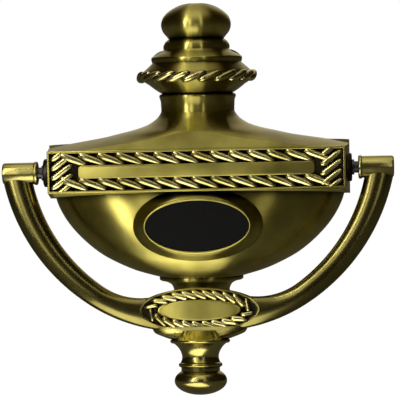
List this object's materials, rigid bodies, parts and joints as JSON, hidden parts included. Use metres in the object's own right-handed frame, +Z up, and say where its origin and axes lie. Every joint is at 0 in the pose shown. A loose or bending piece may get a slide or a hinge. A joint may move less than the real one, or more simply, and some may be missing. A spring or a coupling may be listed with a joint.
{
  "type": "door knocker with viewer",
  "caption": "Urn-shaped door knocker with rope mouldings, a bare name bar, a swinging arm with an oval plate, and a door viewer behind an oval window.",
  "frame": {"origin": "on the door's outer face, on the axis of the viewer, under the middle of the oval window", "axes": "+Y into the door, from the visitor's side to the room side; +Z up; +X to the visitor's right"},
  "size_m": [0.1524, 0.0787, 0.1521],
  "materials": {
    "cast_brass": "antique brass: brushed highlights, dark patina in the recesses",
    "viewer_brass": "turned brass, satin",
    "dark_steel": "darkened steel",
    "window": "black tinted pane, smooth",
    "lens_glass": "clear ground glass"
  },
  "bodies": {
    "urn": {"urn_body": "cast_brass", "viewer_window": "window", "viewer_front_barrel": "viewer_brass", "objective_lens": "lens_glass", "second_lens": "lens_glass", "lens_spacer": "viewer_brass", "lens_retaining_ring": "viewer_brass", "viewer_rear_barrel": "viewer_brass", "eyepiece_lens": "lens_glass", "eyepiece_ring": "viewer_brass", "pivot_pin_left": "dark_steel", "pivot_pin_right": "dark_steel", "pivot_washer_left": "dark_steel", "pivot_washer_right": "dark_steel", "mounting_screw_left": "viewer_brass", "mounting_screw_right": "viewer_brass", "cup_washer_left": "viewer_brass", "cup_washer_right": "viewer_brass"},
    "arm": {"knocker_arm": "cast_brass"}
  },
  "joints": [
    {"name": "knocker_hinge", "type": "hinge", "parent": "urn", "child": "arm", "pos_m": [0, -0.013, 0.021], "axis": [-1, 0, 0], "range_deg": [0, 160]}
  ]
}
